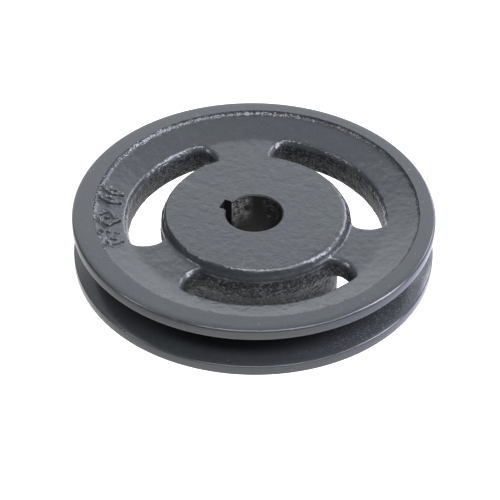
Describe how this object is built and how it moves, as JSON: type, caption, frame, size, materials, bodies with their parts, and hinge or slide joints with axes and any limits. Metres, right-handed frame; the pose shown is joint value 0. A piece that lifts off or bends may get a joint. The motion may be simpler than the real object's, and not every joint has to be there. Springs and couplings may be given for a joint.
{
  "type": "v belt pulley",
  "caption": "Spoked V-belt pulley with one deep belt groove, a dished web with kidney slots and a long keyed hub held by set screws.",
  "frame": {"origin": "centre of the hub's lower end face, on the bore axis", "axes": "+Z along the bore axis towards the flush side of the rim, +X through the middle of the keyway, +Y through the second set screw"},
  "size_m": [0.127, 0.127, 0.0368],
  "materials": {
    "painted_cast_iron": "semi-gloss dark blue-grey paint over grey iron, rough where cast, smooth where turned",
    "black_oxide_steel": "black oxide, lightly oiled"
  },
  "bodies": {
    "casting": {"sheave_casting": "painted_cast_iron"},
    "keyway_screw": {"keyway_set_screw": "black_oxide_steel"},
    "side_screw": {"side_set_screw": "black_oxide_steel"}
  },
  "joints": [
    {"name": "keyway_screw_travel", "type": "slide", "parent": "casting", "child": "keyway_screw", "axis": [1, 0, 0], "range_m": [-0.0006, 0.012]},
    {"name": "side_screw_travel", "type": "slide", "parent": "casting", "child": "side_screw", "axis": [0, 1, 0], "range_m": [-0.0003, 0.012]}
  ]
}
